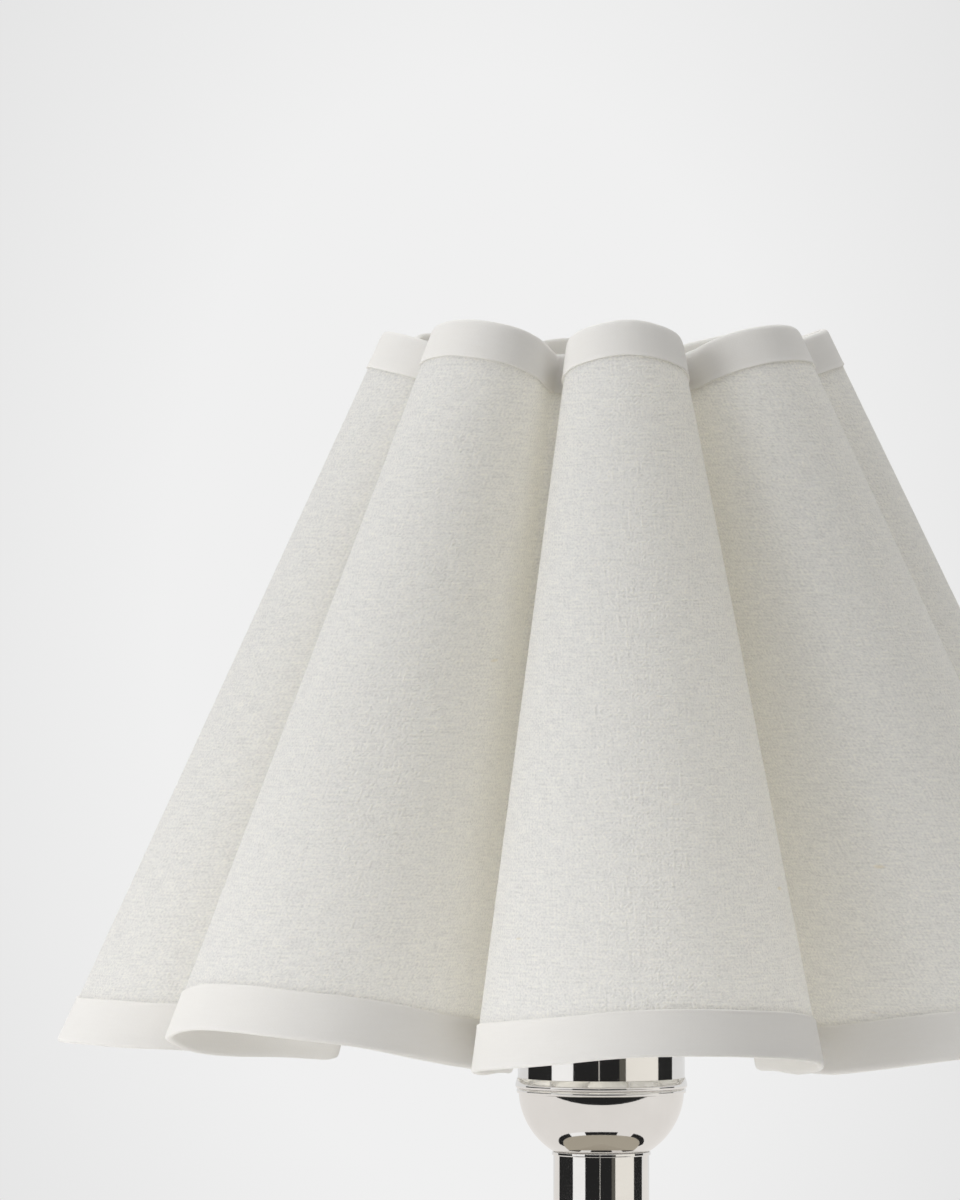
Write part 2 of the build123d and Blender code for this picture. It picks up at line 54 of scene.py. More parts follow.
viewpoint = {
    "place": (0.0, -1834 * mm, 349.6 * mm),
    "aim": (-27.8 * mm, 0.0, 357.9 * mm),  # left of the axis, as the lamp stands right of the middle
    "lens": 240.0,
}
cameraData = bpy.data.cameras.new("lampCamera")
cameraData.lens = viewpoint["lens"]
cameraData.sensor_width = 36.0
camera = bpy.data.objects.new("lampCamera", cameraData)
scene.collection.objects.link(camera)
camera.location = viewpoint["place"]
lookAlong = Vector(viewpoint["aim"]) - Vector(viewpoint["place"])
camera.rotation_euler = lookAlong.to_track_quat("-Z", "Y").to_euler()
scene.camera = camera


# Mesh tools


def mix(low, high, share):
    return low + (high - low) * share


def smoothStep(x):
    return x * x * (3 - 2 * x)


def fullTurn(count):
    return np.linspace(0, 2 * np.pi, count, endpoint=False)


def gridFaces(rows, cols, loopRows=False, loopCols=False):
    # face (i, j) joins points (i, j), (i, j+1), (i+1, j+1), (i+1, j);
    # a looped side joins its end to its start
    i, j = np.meshgrid(
        np.arange(rows if loopRows else rows - 1),
        np.arange(cols if loopCols else cols - 1),
        indexing="ij",
    )
    below, right = (i + 1) % rows, (j + 1) % cols
    faces = np.stack([i * cols + j, i * cols + right, below * cols + right, below * cols + j], -1)
    return faces.reshape(-1, 4)


def windingSign(points, faces):
    # signed volume of the closed mesh: the sum over its triangles of a . (b x c)
    tris = np.concatenate([faces[:, [0, 1, 2]], faces[:, [0, 2, 3]]]) if faces.shape[1] == 4 else faces
    a, b, c = points[tris[:, 0]], points[tris[:, 1]], points[tris[:, 2]]
    return np.sign(np.einsum("ij,ij->i", a, np.cross(b, c)).sum())


def plainPiece(name, points, faces):
    mesh = bpy.data.meshes.new(name)
    mesh.from_pydata(points.reshape(-1, 3).tolist(), [], faces)
    piece = bpy.data.objects.new(name, mesh)
    scene.collection.objects.link(piece)
    return piece


def meshPiece(name, points, faces, cornerUv=None, extraFaces=(), sharpAngle=None):
    # faces are turned outwards, and the piece is put at the origin with its place in its mesh
    points = np.asarray(points, float).reshape(-1, 3)
    turned = -1 if windingSign(points, faces) < 0 else 1
    faces = faces[:, ::turned]
    cornerUv = None if cornerUv is None else cornerUv[:, ::turned]
    piece = plainPiece(name, points, faces.tolist() + [list(f)[::turned] for f in extraFaces])
    mesh = piece.data
    if cornerUv is not None:
        layer = mesh.uv_layers.new(name="clothUv")
        layer.uv.foreach_set("vector", cornerUv.reshape(-1).astype(np.float32))
    mesh.polygons.foreach_set("use_smooth", np.ones(len(mesh.polygons), bool))
    if sharpAngle:
        mesh.set_sharp_from_angle(angle=math.radians(sharpAngle))
    mesh.validate()
    return piece


def roundCorners(corners, steps=5, support=0.3):
    # closed outline in mm: each corner (radius, height, round) becomes an arc that touches both its sides,
    # with one point a little way along each side, so that smooth shading stays in the corner
    spots = np.array([c[:2] for c in corners], float)
    rounds = np.array([c[2] for c in corners], float)
    back = np.roll(spots, 1, 0) - spots
    ahead = np.roll(spots, -1, 0) - spots
    backLong = np.linalg.norm(back, axis=1, keepdims=True)
    aheadLong = np.linalg.norm(ahead, axis=1, keepdims=True)
    back, ahead = back / backLong, ahead / aheadLong
    half = np.arccos(np.clip((back * ahead).sum(1), -1, 1)) / 2
    cut = (rounds / np.tan(half))[:, None]
    middle = back + ahead
    middle /= np.linalg.norm(middle, axis=1, keepdims=True)
    centre = spots + middle * (rounds / np.sin(half))[:, None]
    first, last = spots + back * cut - centre, spots + ahead * cut - centre
    swing = (np.pi - 2 * half)[:, None, None]
    share = np.linspace(0, 1, steps + 1)[None, :, None]
    fromFirst = np.sin((1 - share) * swing) * first[:, None]
    fromLast = np.sin(share * swing) * last[:, None]
    arcs = (fromFirst + fromLast) / np.sin(swing) + centre[:, None]
    stepBack = np.minimum(support, 0.2 * backLong)
    stepAhead = np.minimum(support, 0.2 * aheadLong)
    lead = arcs[:, :1] + (back * stepBack)[:, None]
    trail = arcs[:, -1:] + (ahead * stepAhead)[:, None]
    return np.concatenate([lead, arcs, trail], 1).reshape(-1, 2)


def arcRun(centre, radius, fromTurn, toTurn, steps):
    # points of a circle arc in the outline's plane, angles in degrees from outwards towards up
    turn = np.radians(np.linspace(fromTurn, toTurn, steps + 1))
    return np.stack([centre[0] + radius * np.cos(turn), centre[1] + radius * np.sin(turn)], -1)


def bowRun(start, end, radius, steps):
    # arc of a given radius between two points, swelling outwards and down
    start, end = np.array(start, float), np.array(end, float)
    chord = end - start
    length = np.hypot(*chord)
    inwards = np.array([-chord[1], chord[0]]) / length
    centre = (start + end) / 2 + inwards * math.sqrt(radius**2 - length**2 / 4)
    a, b = start - centre, end - centre
    return arcRun(
        centre, radius, math.degrees(math.atan2(a[1], a[0])), math.degrees(math.atan2(b[1], b[0])), steps
    )


def tubeOutline(bore, radius, low, high, rounds, steps=5):
    # wall of a plain tube in mm, its corners rounded: low inside, low outside, high outside, high inside
    corners = [(bore, low), (radius, low), (radius, high), (bore, high)]
    return roundCorners([(*corner, turn) for corner, turn in zip(corners, rounds)], steps)


def spin(outline, turns):
    # point (i, j) is outline point i, given as radius and height, turned j steps about the lamp's axis
    turn = fullTurn(turns)
    radius, height = outline[:, :1], np.repeat(outline[:, 1:], turns, 1)
    return np.stack([radius * np.sin(turn), -radius * np.cos(turn), height], -1)


def lathe(name, outline, turns, sharpAngle=40):
    points = spin(np.asarray(outline, float) * mm, turns)
    return meshPiece(name, points, gridFaces(len(outline), turns, True, True), sharpAngle=sharpAngle)


def endCaps(rows, cols):
    # one face over the first row of a tube and one over its last
    return [list(range(cols))[::-1], list(range((rows - 1) * cols, rows * cols))]


# Material tools


def newFinish(name, settings):
    # a Principled shader whose constant values are set on its own sockets
    finish = bpy.data.materials.new(name)
    finish.use_nodes = True
    tree = finish.node_tree
    shader = tree.nodes["Principled BSDF"]
    for socket, value in settings.items():
        shader.inputs[socket].default_value = value
    return finish, tree, shader


def put(tree, kind, values=None, links=None, **options):
    node = tree.nodes.new("ShaderNode" + kind)
    for option, value in options.items():
        setattr(node, option, value)
    for socket, value in (values or {}).items():
        node.inputs[socket].default_value = value
    for socket, source in (links or {}).items():
        tree.links.new(source, node.inputs[socket])
    return node


def stretched(tree, where, scale):
    return put(tree, "Mapping", {"Scale": scale}, {"Vector": where}).outputs["Vector"]


def coordinates(tree, scale=(1, 1, 1)):
    return stretched(tree, put(tree, "TexCoord").outputs["Object"], scale)


def noise(tree, where, scale, detail=3.0, roughness=0.55):
    settings = {"Scale": scale, "Detail": detail, "Roughness": roughness}
    return put(tree, "TexNoise", settings, {"Vector": where}).outputs["Fac"]


def maths(tree, operation, first, second=None):
    node = put(tree, "Math", operation=operation)
    for socket, value in zip(node.inputs, (first, second)):
        if value is None:
            continue
        if isinstance(value, (int, float)):
            socket.default_value = value
        else:
            tree.links.new(value, socket)
    return node.outputs["Value"]


def ramp(tree, factor, stops):
    node = put(tree, "ValToRGB", links={"Fac": factor})
    elements = node.color_ramp.elements
    while len(elements) < len(stops):
        elements.new(0.5)
    for element, (spot, colour) in zip(elements, stops):
        element.position = spot
        element.color = (*colour, 1)
    return node.outputs["Color"]


def span(tree, factor, low, high):
    node = put(tree, "MapRange", {"To Min": low, "To Max": high}, {"Value": factor})
    return node.outputs["Result"]


def bump(tree, shader, height, strength, distance):
    node = put(tree, "Bump", {"Strength": strength, "Distance": distance}, {"Height": height})
    tree.links.new(node.outputs["Normal"], shader.inputs["Normal"])


def colourBy(tree, shader, factor, look):
    # base colour from dark to light over the factor
    low, high = look.get("stops", (0.3, 0.7))
    stops = [(low, look["dark"]), (high, look["light"])]
    tree.links.new(ramp(tree, factor, stops), shader.inputs["Base Color"])


def roughBy(tree, shader, factor, look):
    tree.links.new(span(tree, factor, *look["rough"]), shader.inputs["Roughness"])


def weighted(tree, terms, middle=0.5):
    # sum of (source - middle) * weight over the terms
    total = None
    for source, weight in terms:
        term = maths(tree, "MULTIPLY", maths(tree, "SUBTRACT", source, middle), weight)
        total = term if total is None else maths(tree, "ADD", total, term)
    return total


# Finishes: a noise's scale is its waves in a metre, and three scales draw it out

linenLook = {
    "dark": (0.782, 0.798, 0.838),
    "mid": (0.884, 0.901, 0.943),
    "light": (0.97, 0.984, 1.0),
    "fleck": (0.80, 0.72, 0.55),
    "tint": (1.0, 0.938, 0.78),  # of the light that has gone through
    "through": 0.46,  # share of the light that goes through the cloth
    "pitch": 0.56 * mm,
    "wander": 260.0,
    "sway": 1.1 * mm,  # how far the threads wander
    "weft": (190, 1800, 1),
    "warp": (1800, 230, 1),
    "fine": 1800.0,
    "cloud": 14.0,
    "speck": (60, 200, 1),
    "rare": (0.77, 0.82),  # span of the speck noise over which a fleck shows
    "weave": 0.35,  # weights in the relief, as are the next two
    "yarn": 2.2,
    "grain": 3.0,
    "warpShare": 0.7,  # of the yarn's weight
    # painted shade: the relief also darkens the colour where the threads dip, partly the yarn's own uneven
    # tone
    "shading": 0.55,  # how much of the relief shows as colour
    "cloudy": 0.05,
    "bump": (0.8, 0.14 * mm),  # strength and distance
}
bindingLook = {
    **linenLook,
    "dark": (0.83, 0.822, 0.81),
    "mid": (0.91, 0.903, 0.89),
    "fleck": (0.88, 0.86, 0.82),
    "tint": (1.0, 0.957, 0.86),
    "through": 0.24,
    "pitch": 0.4 * mm,
    "weave": 0.15,
    "yarn": 0.3,
    "grain": 0.2,
    "bump": (0.8, 0.06 * mm),
}
clothSurface = {"Roughness": 0.9, "Specular IOR Level": 0.15, "Sheen Weight": 0.06, "Sheen Roughness": 0.6}


def threadPlace(tree, uv, look):
    # place on the cloth, moved a little so that the threads wander
    wander = noise(tree, uv, look["wander"], 2.0)
    both = put(tree, "CombineXYZ", links={"X": wander, "Y": wander}).outputs["Vector"]
    drift = put(tree, "VectorMath", {"Scale": look["sway"]}, {0: both}, operation="SCALE")
    moved = put(tree, "VectorMath", links={0: uv, 1: drift.outputs["Vector"]}, operation="ADD")
    return put(tree, "SeparateXYZ", links={"Vector": moved.outputs["Vector"]})


def wovenFinish(name, look):
    # plain weave: the product of two waves across the cloth, with threads that wander, uneven yarn drawn out
    # along both ways and a few natural flecks; the relief also darkens the colour in its dips, as painted
    # shade; part of the light goes through to the other side
    finish, tree, shader = newFinish(name, clothSurface)
    uv = put(tree, "TexCoord").outputs["UV"]
    place = threadPlace(tree, uv, look)
    turns = math.pi / look["pitch"]
    across = maths(tree, "SINE", maths(tree, "MULTIPLY", place.outputs["X"], turns))
    along = maths(tree, "SINE", maths(tree, "MULTIPLY", place.outputs["Y"], turns))
    weave = maths(tree, "ADD", maths(tree, "MULTIPLY", maths(tree, "MULTIPLY", across, along), 0.5), 0.5)
    weft = noise(tree, stretched(tree, uv, look["weft"]), 1.0, 2.0)
    warp = noise(tree, stretched(tree, uv, look["warp"]), 1.0, 2.0)
    grain = noise(tree, uv, look["fine"], 1.0)
    cloud = noise(tree, uv, look["cloud"], 4.0)
    relief = weighted(
        tree,
        [
            (weave, look["weave"]),
            (weft, look["yarn"]),
            (warp, look["warpShare"] * look["yarn"]),
            (grain, look["grain"]),
        ],
    )
    clouds = weighted(tree, [(cloud, look["cloudy"])])
    # painted shade in the weave's dips from the relief, partly the yarn's own uneven tone
    shading = maths(tree, "ADD", maths(tree, "MULTIPLY", relief, look["shading"]), clouds)
    stops = [(0.0, look["dark"]), (0.5, look["mid"]), (1.0, look["light"])]
    cloth = ramp(tree, maths(tree, "ADD", shading, 0.5), stops)
    speck = noise(tree, stretched(tree, uv, look["speck"]), 1.0, 1.0)
    fromSpeck, toSpeck = look["rare"]
    rare = put(tree, "MapRange", {"From Min": fromSpeck, "From Max": toSpeck}, {"Value": speck})
    sources = {0: rare.outputs["Result"], 6: cloth}
    flecked = put(tree, "Mix", {7: (*look["fleck"], 1)}, sources, data_type="RGBA").outputs[2]
    tree.links.new(flecked, shader.inputs["Base Color"])
    bump(tree, shader, relief, *look["bump"])
    tinted = {"data_type": "RGBA", "blend_type": "MULTIPLY"}
    warmer = put(tree, "Mix", {0: 1.0, 7: (*look["tint"], 1)}, {6: flecked}, **tinted).outputs[2]
    passed = put(tree, "BsdfTranslucent", links={"Color": warmer}).outputs[0]
    both = put(tree, "MixShader", {0: look["through"]}, {1: shader.outputs[0], 2: passed})
    # the thin closed cloth acts as one sheet: light crosses it once, and its inner sides are clear
    within = put(tree, "NewGeometry").outputs["Backfacing"]
    clear = put(tree, "BsdfTransparent").outputs[0]
    sheet = put(tree, "MixShader", links={0: within, 1: both.outputs[0], 2: clear})
    tree.links.new(sheet.outputs[0], tree.nodes["Material Output"].inputs["Surface"])
    return finish


nickelLook = {
    "dark": (0.80, 0.785, 0.765),
    "light": (0.87, 0.857, 0.84),
    "rough": (0.03, 0.13),
    "cloud": 55.0,
    "hair": (60, 60, 2600),
    "bump": (0.02, 0.05 * mm),
}


def nickelFinish(look):
    # bright plated metal with faint clouding and hair lines round the turned pieces
    finish, tree, shader = newFinish("polishedNickel", {"Metallic": 1.0})
    hair = noise(tree, coordinates(tree, look["hair"]), 1.0, 3.0)
    cloud = noise(tree, coordinates(tree), look["cloud"], 4.0)
    colourBy(tree, shader, cloud, look)
    roughBy(tree, shader, maths(tree, "MULTIPLY", cloud, hair), look)
    bump(tree, shader, hair, *look["bump"])
    return finish


def grainedFinish(name, look):
    # noises over the piece, each with its stretch, scale, detail and at times roughness, and last with its
    # weights in the colour, in the surface's roughness and in the relief
    finish, tree, shader = newFinish(name, look["surface"])
    sources = [
        (noise(tree, coordinates(tree, stretch), *settings), weights)
        for stretch, *settings, weights in look["noises"]
    ]
    colour, rough, height = (
        weighted(tree, [(source, weights[role]) for source, weights in sources if weights[role]], 0.0)
        for role in range(3)
    )
    colourBy(tree, shader, colour, look)
    if "rough" in look:
        roughBy(tree, shader, rough, look)
    bump(tree, shader, height, *look["bump"])
    return finish


even = (1, 1, 1)
# bare drawn steel: grain along the piece, and stains
steelLook = {
    "surface": {"Metallic": 1.0},
    "dark": (0.38, 0.37, 0.36),
    "light": (0.55, 0.54, 0.52),
    "rough": (0.28, 0.5),
    "noises": (((900, 900, 90), 1.0, 4.0, (0, 1, 1)), (even, 120.0, 5.0, (1, 0, 0))),
    "bump": (0.15, 0.1 * mm),
}
# white paint on wire: thin runs, and specks
enamelLook = {
    "surface": {"Coat Weight": 0.15},
    "dark": (0.66, 0.65, 0.62),
    "light": (0.76, 0.75, 0.72),
    "stops": (0.3, 0.65),
    "rough": (0.32, 0.55),
    "noises": ((even, 260.0, 4.0, (1, 0, 1)), (even, 1400.0, 2.0, (0, 1, 1))),
    "bump": (0.2, 0.1 * mm),
}
# pressed wool: short fibres over a mottled dye
feltLook = {
    "surface": {"Roughness": 1.0, "Sheen Weight": 0.4, "Specular IOR Level": 0.05},
    "dark": (0.05, 0.07, 0.06),
    "light": (0.12, 0.15, 0.13),
    "noises": ((even, 1500.0, 6.0, 0.7, (0.5, 0, 1)), (even, 160.0, 4.0, (0.5, 0, 0))),
    "bump": (0.7, 0.4 * mm),
}
# sand casting, with patches of rust
ironLook = {
    "surface": {"Metallic": 0.6},
    "dark": (0.07, 0.07, 0.07),
    "light": (0.14, 0.10, 0.08),
    "stops": (0.4, 0.75),
    "rough": (0.55, 0.85),
    "noises": ((even, 700.0, 6.0, 0.65, (0, 1, 1)), (even, 60.0, 5.0, (1, 0, 0))),
    "bump": (0.6, 0.5 * mm),
}
# drawn tube: slow waves, longer up the tube, and a trace of haze
glassLook = {
    "surface": {"Transmission Weight": 1.0, "IOR": 1.47},
    "dark": (0.95, 0.97, 0.96),
    "light": (0.99, 1.0, 0.99),
    "rough": (0.0, 0.03),
    "noises": (((1, 1, 0.25), 90.0, 2.0, (1, 0, 1)), ((1, 1, 0.25), 500.0, 4.0, (0, 1, 0))),
    "bump": (0.06, 0.6 * mm),
}
# glass ground dull: fine pits, and a cloudy white
frostedLook = {
    "surface": {"Transmission Weight": 0.25, "IOR": 1.47},
    "dark": (0.70, 0.75, 0.73),
    "light": (0.80, 0.84, 0.82),
    "rough": (0.45, 0.7),
    "noises": ((even, 2400.0, 4.0, (0, 1, 1)), (even, 180.0, 3.0, (1, 0, 0))),
    "bump": (0.3, 0.1 * mm),
}
# cloudy wax with a fine grain, which red light enters further than green and blue
waxLook = {
    "surface": {
        "Subsurface Weight": 0.6,
        "Subsurface Radius": (0.006, 0.004, 0.0025),
        "Subsurface Scale": 1.0,
        "Coat Weight": 0.1,
    },
    "dark": (0.80, 0.76, 0.66),
    "light": (0.88, 0.85, 0.77),
    "rough": (0.35, 0.55),
    "noises": ((even, 70.0, 5.0, (1, 0, 1)), (even, 800.0, 3.0, (0, 1, 0.3))),
    "bump": (0.15, 0.4 * mm),
}
# raw cotton: fibres drawn out up the wick
wickLook = {
    "surface": {"Roughness": 0.95, "Sheen Weight": 0.2},
    "dark": (0.62, 0.57, 0.47),
    "light": (0.82, 0.78, 0.68),
    "noises": (((1, 1, 0.4), 2600.0, 5.0, (1, 0, 1)),),
    "bump": (0.6, 0.2 * mm),
}

linen = wovenFinish("shadeLinen", linenLook)
binding = wovenFinish("linenBinding", bindingLook)
nickel = nickelFinish(nickelLook)
steel = grainedFinish("plainSteel", steelLook)
enamel = grainedFinish("paintedWire", enamelLook)
felt = grainedFinish("baseFelt", feltLook)
iron = grainedFinish("castIron", ironLook)
glass = grainedFinish("clearGlass", glassLook)
frosted = grainedFinish("groundGlass", frostedLook)
wax = grainedFinish("candleWax", waxLook)
cotton = grainedFinish("cottonWick", wickLook)
print("finishes:", len(bpy.data.materials))


def dress(piece, finish, body, slotName, *replaced):
    piece.data.materials.clear()
    piece.data.materials.append(finish)
    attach(piece, body)
    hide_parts(*replaced)
    return piece


def refinish(finish, *names):
    # a CAD node whose shape is right keeps it, and gets the finish in its slots
    for name in names:
        for place in cadNodes[name].material_slots:
            place.material = finish


# Shade: eight round lobes of linen with a deep fold between each pair

shade = {
    "lowTips": 260.5 * mm,  # height of the lobes' lower tips
    "height": 159.4 * mm,  # along the tips
    "lobeReach": (128.0 * mm, 51.4 * mm),  # at the bottom and at the top, as in the next lines
    "foldReach": (67.4 * mm, 29.7 * mm),
    "foldBend": (3.8 * mm, 2.0 * mm),
    "foldDip": (7.8 * mm, 7.7 * mm),
    "fill": 0.985,  # share of the room between two folds that a lobe's round takes
    "cloth": 0.8 * mm,
    "edgeRoom": 1.0 * mm,  # that the walls reach past the deepest fold
    "liftBell": 0.62,  # width of the bell curve that joins the lifts, in places
    "slant": 1.1,  # length of cloth to height
    "laneStep": 0.37,  # metres of cloth between the weaves of two lobes
    "topAngle": (-84.0, -35.0, 7.5, 52.0, 97.5, 142.0, 186.5, 231.0),
    "bottomAngle": (-80.0, -44.5, 5.5, 59.5, 96.5, 142.5, 188.5, 234.5),
    "topReach": (-2.0, 2.5, -1.5, 0.5, 0.5, 0.0, 0.0, 0.0),  # mm beyond the common reach
    "bottomReach": (-4.5, -2.5, 4.5, 2.5, 1.5, 0.0, 0.0, 0.0),
    # mm that the lower edge is lifted at eight places a lobe, from the fold before it by way of its tip
    "hemLift": (
        (0.5, 0.1, -0.8, -1.6, -2.0, -1.3, 0.1, 1.7),
        (2.6, 1.5, -0.6, 1.7, 4.3, 3.0, 0.8, 1.1),
        (1.0, 0.3, -1.9, -2.4, -0.4, -0.6, -2.0, 0.5),
        (2.2, -0.4, -2.1, -1.2, -0.5, -0.5, 0.0, 0.3),
        (0.5, 0.2, -0.8, -0.4, 0.0, -0.5, -1.0, -0.2),
        (0.0, -0.6, -1.2, 0.2, 0.9, 0.2, -0.9, 0.3),
        (0.8, 0.2, -1.0, -0.6, -0.4, -0.3, -1.1, -0.4),
        (0.0, -0.3, -1.2, -0.2, 0.5, 0.3, -0.8, 0.0),
    ),
    # the same for the upper edge
    "topLift": (
        (0.0, -0.5, -1.1, -0.9, -0.5, -0.7, -0.9, -0.4),
        (0.0, 0.0, -0.8, -1.0, -0.6, -0.9, -1.5, -0.9),
        (0.0, -0.6, -1.1, -0.2, 0.6, -0.6, -1.8, -0.9),
        (0.0, -0.8, -1.6, -1.0, -0.8, -1.4, -1.7, -0.8),
        (0.0, -0.7, -1.3, -0.8, -0.2, -0.6, -1.2, -0.6),
        (0.0, -0.6, -1.0, -0.5, 0.1, -0.7, -1.4, -0.7),
        (0.0, -0.7, -1.3, -0.9, -0.4, -0.6, -1.0, -0.5),
        (0.0, -0.5, -1.2, -0.7, 0.0, -0.5, -1.1, -0.6),
    ),
    "columns": (22, 9, 9),  # points along the round, the flank and the fold of half a lobe
    "rows": 56,
    "insideRows": 20,
}
lobeCount = len(shade["topAngle"])


def shadeOutline(share, grow):
    # half lobe by half lobe: an arc about the lobe's own centre, a straight flank that touches it, and an arc
    # about the fold's centre the other way; the radius is the largest that still leaves room for the fold
    angle = np.radians(mix(np.array(shade["bottomAngle"]), np.array(shade["topAngle"]), share))
    reach = mix(shade["lobeReach"][0], shade["lobeReach"][1], share)
    reach = reach + mm * mix(np.array(shade["bottomReach"]), np.array(shade["topReach"]), share)
    fold = mix(*shade["foldReach"], share)
    bend = mix(*shade["foldBend"], share)
    side = np.array([-1, 1])[None, :]
    other = np.stack([np.roll(angle, 1), np.roll(angle, -1)], 1)
    angle, reach = angle[:, None], reach[:, None]
    halfTurn = (side * (other - angle)) % (2 * np.pi) / 2
    centre = fold + bend
    foldX = centre * np.sin(halfTurn)
    foldY = centre * np.cos(halfTurn)
    along = reach - foldY
    touching = (foldX**2 + along**2 - bend**2) / (2 * (along + bend))
    wedged = (reach * np.sin(halfTurn) - bend) / (1 + np.sin(halfTurn))
    radius = shade["fill"] * np.minimum(touching, wedged)
    drop = along - radius
    turn = np.arctan2(foldX, -drop) - np.arccos((radius + bend) / np.hypot(foldX, drop))
    arcs, flanks, folds = shade["columns"]
    radius, turn, halfTurn, reach = (x[..., None] for x in (radius, turn, halfTurn, reach))
    foldX, foldY, angle = foldX[..., None], foldY[..., None], angle[..., None]
    swing = turn * np.linspace(0, 1, arcs, endpoint=False)
    lobeX = (radius + grow) * np.sin(swing)
    lobeY = reach - radius + (radius + grow) * np.cos(swing)
    swing = turn + (halfTurn - turn) * np.linspace(0, 1, folds + 1)
    bendX = foldX - (bend - grow) * np.sin(swing)
    bendY = foldY - (bend - grow) * np.cos(swing)
    step = np.linspace(0, 1, flanks, endpoint=False)
    startX = (radius + grow) * np.sin(turn)
    startY = reach - radius + (radius + grow) * np.cos(turn)
    flankX = startX + (bendX[..., :1] - startX) * step
    flankY = startY + (bendY[..., :1] - startY) * step
    x = np.concatenate([lobeX, flankX, bendX], -1) * side[..., None]
    y = np.concatenate([lobeY, flankY, bendY], -1)
    spots = np.stack([y * np.sin(angle) + x * np.cos(angle), -y * np.cos(angle) + x * np.sin(angle)], -1)
    return np.concatenate([spots[:, 0, ::-1], spots[:, 1, 1:]], 1)  # lobes, points from fold to fold, x and y


shareLow = -(shade["foldDip"][0] + shade["edgeRoom"]) / shade["height"]
shareHigh = 1 + (shade["foldDip"][1] + shade["edgeRoom"]) / shade["height"] / 2
halfPoints = sum(shade["columns"])


def shadeWall(grow):
    # straight lines from the lowest outline to the highest, both grown outwards
    return shadeOutline(shareLow, grow), shadeOutline(shareHigh, grow)


def onWall(wall, share):
    # point of each line at a share of the shade's height
    low, high = wall
    part = ((share - shareLow) / (shareHigh - shareLow))[..., None]
    flat = low + (high - low) * part
    return np.concatenate([flat, (shade["lowTips"] + shade["height"] * share)[..., None]], -1)


def edgeLift(lifts):
    # lift of the edge in metres: a mean of the places round about, weighted by a bell curve of their distance
    places = mm * np.array(lifts).reshape(-1)
    count, each = len(places), len(lifts[0])
    spots = np.arange(lobeCount)[:, None] * each + np.linspace(0, each, 2 * halfPoints + 1)
    gap = (spots[..., None] - np.arange(count) + count / 2) % count - count / 2
    weight = np.exp(-((gap / shade["liftBell"]) ** 2))
    return (weight * places).sum(-1) / weight.sum(-1)


def edgeShares(wall):
    # share at which each line meets the lower and the upper edge: cones that drop towards the axis, found
    # in rounds because a line's reach changes with its share
    lowLift = edgeLift(shade["hemLift"])
    highLift = edgeLift(shade["topLift"])
    slopes = [d / (a - b) for d, a, b in zip(shade["foldDip"], shade["lobeReach"], shade["foldReach"])]
    low, high = np.zeros_like(lowLift), np.ones_like(lowLift)
    for _ in range(12):
        reachLow = np.hypot(*np.moveaxis(onWall(wall, low)[..., :2], -1, 0))
        reachHigh = np.hypot(*np.moveaxis(onWall(wall, high)[..., :2], -1, 0))
        low = (lowLift - slopes[0] * (shade["lobeReach"][0] - reachLow)) / shade["height"]
        high = 1 + (highLift - slopes[1] * (shade["lobeReach"][1] - reachHigh)) / shade["height"]
    return low, high


def closeRound(perLobe):
    # lobes side by side, each fold's point taken once
    return perLobe[:, :-1].reshape(-1, *perLobe.shape[2:])


outerWall = shadeWall(0.0)
innerWall = shadeWall(-shade["cloth"])
lowEdge, highEdge = edgeShares(outerWall)
shadeColumns = lobeCount * 2 * halfPoints


def lobeRuns(wall, share):
    # length along the cloth from each lobe's tip, at a share of the height
    spots = onWall(wall, share)
    steps = np.linalg.norm(np.diff(spots, axis=1), axis=-1)
    runs = np.concatenate([np.zeros((lobeCount, 1)), np.cumsum(steps, 1)], 1)
    return runs - runs[:, halfPoints : halfPoints + 1]


def clothUv(uRows, vRows):
    # corners of every face, lobe by lobe, so that the weave stops at each sewn fold
    u, v = np.stack(uRows), np.stack(vRows)  # rows, lobes, points
    u = u + shade["laneStep"] * np.arange(lobeCount)[None, :, None]
    grid = np.stack([u, v], -1)
    corners = [grid[:-1, :, :-1], grid[:-1, :, 1:], grid[1:, :, 1:], grid[1:, :, :-1]]
    return np.stack(corners, 3).reshape(-1, 4, 2)


def makeShadeCloth():
    # the outer face from the lower edge to the upper one and the inner face back down, closed into one
    # thin sheet
    outerShares = [mix(lowEdge, highEdge, v) for v in np.linspace(0, 1, shade["rows"] + 1)]
    innerShares = [mix(lowEdge, highEdge, v) for v in np.linspace(1, 0, shade["insideRows"] + 1)]
    rows = [(outerWall, s) for s in outerShares] + [(innerWall, s) for s in innerShares]
    points = np.stack([closeRound(onWall(wall, share)) for wall, share in rows])
    rows.append(rows[0])
    uRows = [lobeRuns(wall, share) for wall, share in rows]
    vRows = [share * shade["height"] * shade["slant"] for _, share in rows]
    faces = gridFaces(len(points), shadeColumns, True, True)
    cloth = meshPiece("shadeCloth", points, faces, clothUv(uRows, vRows))
    outer = points[: shade["rows"] + 1]
    outer = np.concatenate([outer, outer[:, :1]], 1)
    a, b, c, d = outer[:-1, :-1], outer[:-1, 1:], outer[1:, 1:], outer[1:, :-1]
    firstHalves = np.linalg.norm(np.cross(b - a, c - a), axis=-1)
    otherHalves = np.linalg.norm(np.cross(c - a, d - a), axis=-1)
    area = (firstHalves + otherHalves).sum() / 2
    girth = np.linalg.norm(np.diff(outer[0], axis=0), axis=-1).sum()
    slant = np.linalg.norm(outer[-1] - outer[0], axis=-1).max()
    return cloth, area, girth, slant


shadeCloth, clothArea, clothGirth, clothSlant = makeShadeCloth()
print("shade cloth: area", round(clothArea, 4), "girth", round(clothGirth, 3), "slant", round(clothSlant, 3))

